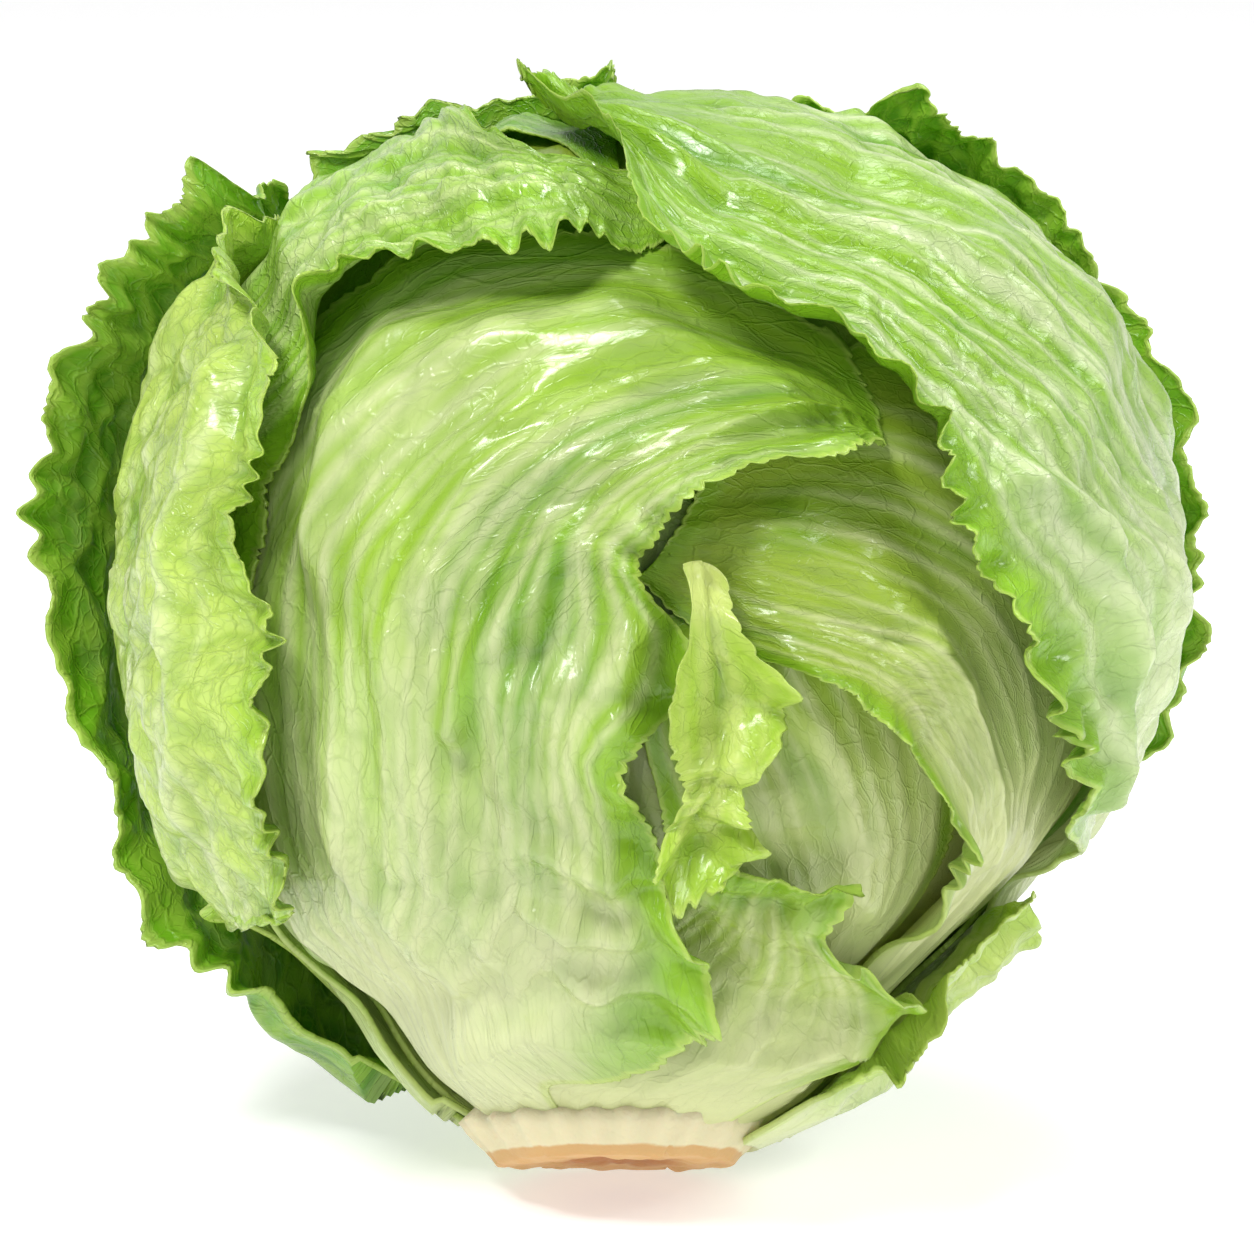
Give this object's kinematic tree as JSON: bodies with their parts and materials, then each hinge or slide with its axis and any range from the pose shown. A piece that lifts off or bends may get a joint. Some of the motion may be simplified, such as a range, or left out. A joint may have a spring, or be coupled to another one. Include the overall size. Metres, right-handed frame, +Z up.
{
  "type": "iceberg lettuce head",
  "caption": "Round crisp lettuce head with overlapping frilled leaves, loose outer wrapper leaves and a cut stem that it leans back on.",
  "frame": {"origin": "the middle of the small flat spot on the rear rim of the cut stem, on the surface the head rests on", "axes": "+Z is up, +X is to the right and -Y towards the viewer of the picture, who sees the open front of the head"},
  "size_m": [0.1727, 0.1678, 0.1642],
  "materials": {
    "cut_stem": "matte",
    "pale_leaf": "satin, waxy",
    "green_leaf": "satin, waxy",
    "outer_leaf": "satin, waxy"
  },
  "bodies": {
    "root": {"cut_stem": "cut_stem", "heart": "pale_leaf", "inner_leaf": "pale_leaf", "wide_inner_leaf": "pale_leaf", "curled_inner_leaf": "pale_leaf", "small_front_leaf": "pale_leaf", "front_leaf": "green_leaf", "back_leaf_right": "green_leaf", "back_leaf_left": "green_leaf", "upper_left_leaf": "green_leaf", "right_leaf": "green_leaf", "left_leaf": "green_leaf", "lower_right_leaf": "pale_leaf", "outer_leaf_right": "outer_leaf", "outer_leaf_top": "outer_leaf", "outer_leaf_left": "outer_leaf"}
  },
  "joints": []
}
